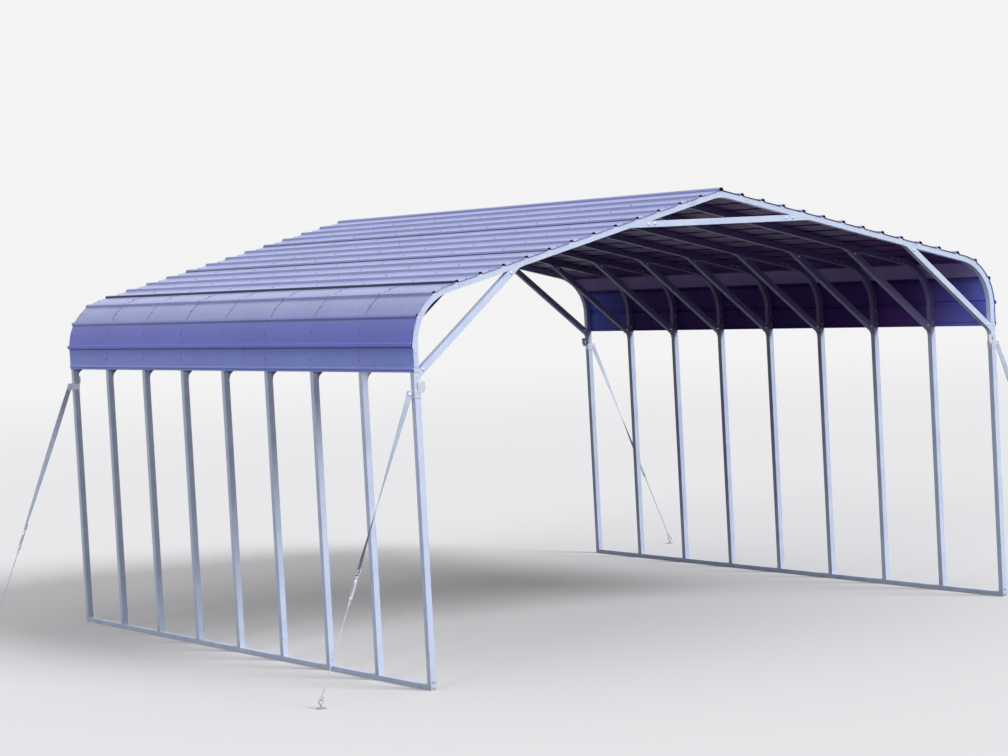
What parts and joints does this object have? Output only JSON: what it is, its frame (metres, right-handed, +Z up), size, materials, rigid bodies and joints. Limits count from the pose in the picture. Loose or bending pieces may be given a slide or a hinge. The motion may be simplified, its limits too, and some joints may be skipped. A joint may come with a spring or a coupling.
{
  "type": "carport",
  "caption": "Open-sided steel carport with square-tube frames, knee braces, ribbed roof sheets that wrap round curved eaves, and a tensioned guy at each corner.",
  "frame": {"origin": "on the ground, in the middle of the plan", "axes": "+Z up, the ridge runs along Y, the front frame is at -Y and +X is to the right of someone looking at the front"},
  "size_m": [8.08, 6.1362, 3.7184],
  "materials": {
    "galvanised_tube": "galvanised, smooth and pale",
    "coated_sheet": "pale lilac-grey coated ribbed sheet, satin",
    "guy_fittings": "zinc plated",
    "webbing": "woven polyester strap",
    "wire_cable": "stranded galvanised wire"
  },
  "bodies": {
    "root": {"base_rail_left": "galvanised_tube", "base_rail_right": "galvanised_tube", "posts_left": "galvanised_tube", "posts_right": "galvanised_tube", "eave_bends_left": "galvanised_tube", "eave_bends_right": "galvanised_tube", "rafters_left": "galvanised_tube", "rafters_right": "galvanised_tube", "ridge_bends": "galvanised_tube", "knee_braces_left": "galvanised_tube", "knee_braces_right": "galvanised_tube", "collar_tie_front": "galvanised_tube", "collar_tie_back": "galvanised_tube", "roof_sheet_upper_left": "coated_sheet", "roof_sheet_upper_right": "coated_sheet", "roof_sheet_middle_left": "coated_sheet", "roof_sheet_middle_right": "coated_sheet", "roof_sheet_lower_left": "coated_sheet", "roof_sheet_lower_right": "coated_sheet", "corner_sheets_left": "coated_sheet", "corner_sheets_right": "coated_sheet", "ridge_cap": "coated_sheet", "guy_clamps": "guy_fittings", "guy_straps": "webbing", "turnbuckles": "guy_fittings", "guy_cables": "wire_cable", "ground_anchors": "guy_fittings"}
  },
  "joints": []
}
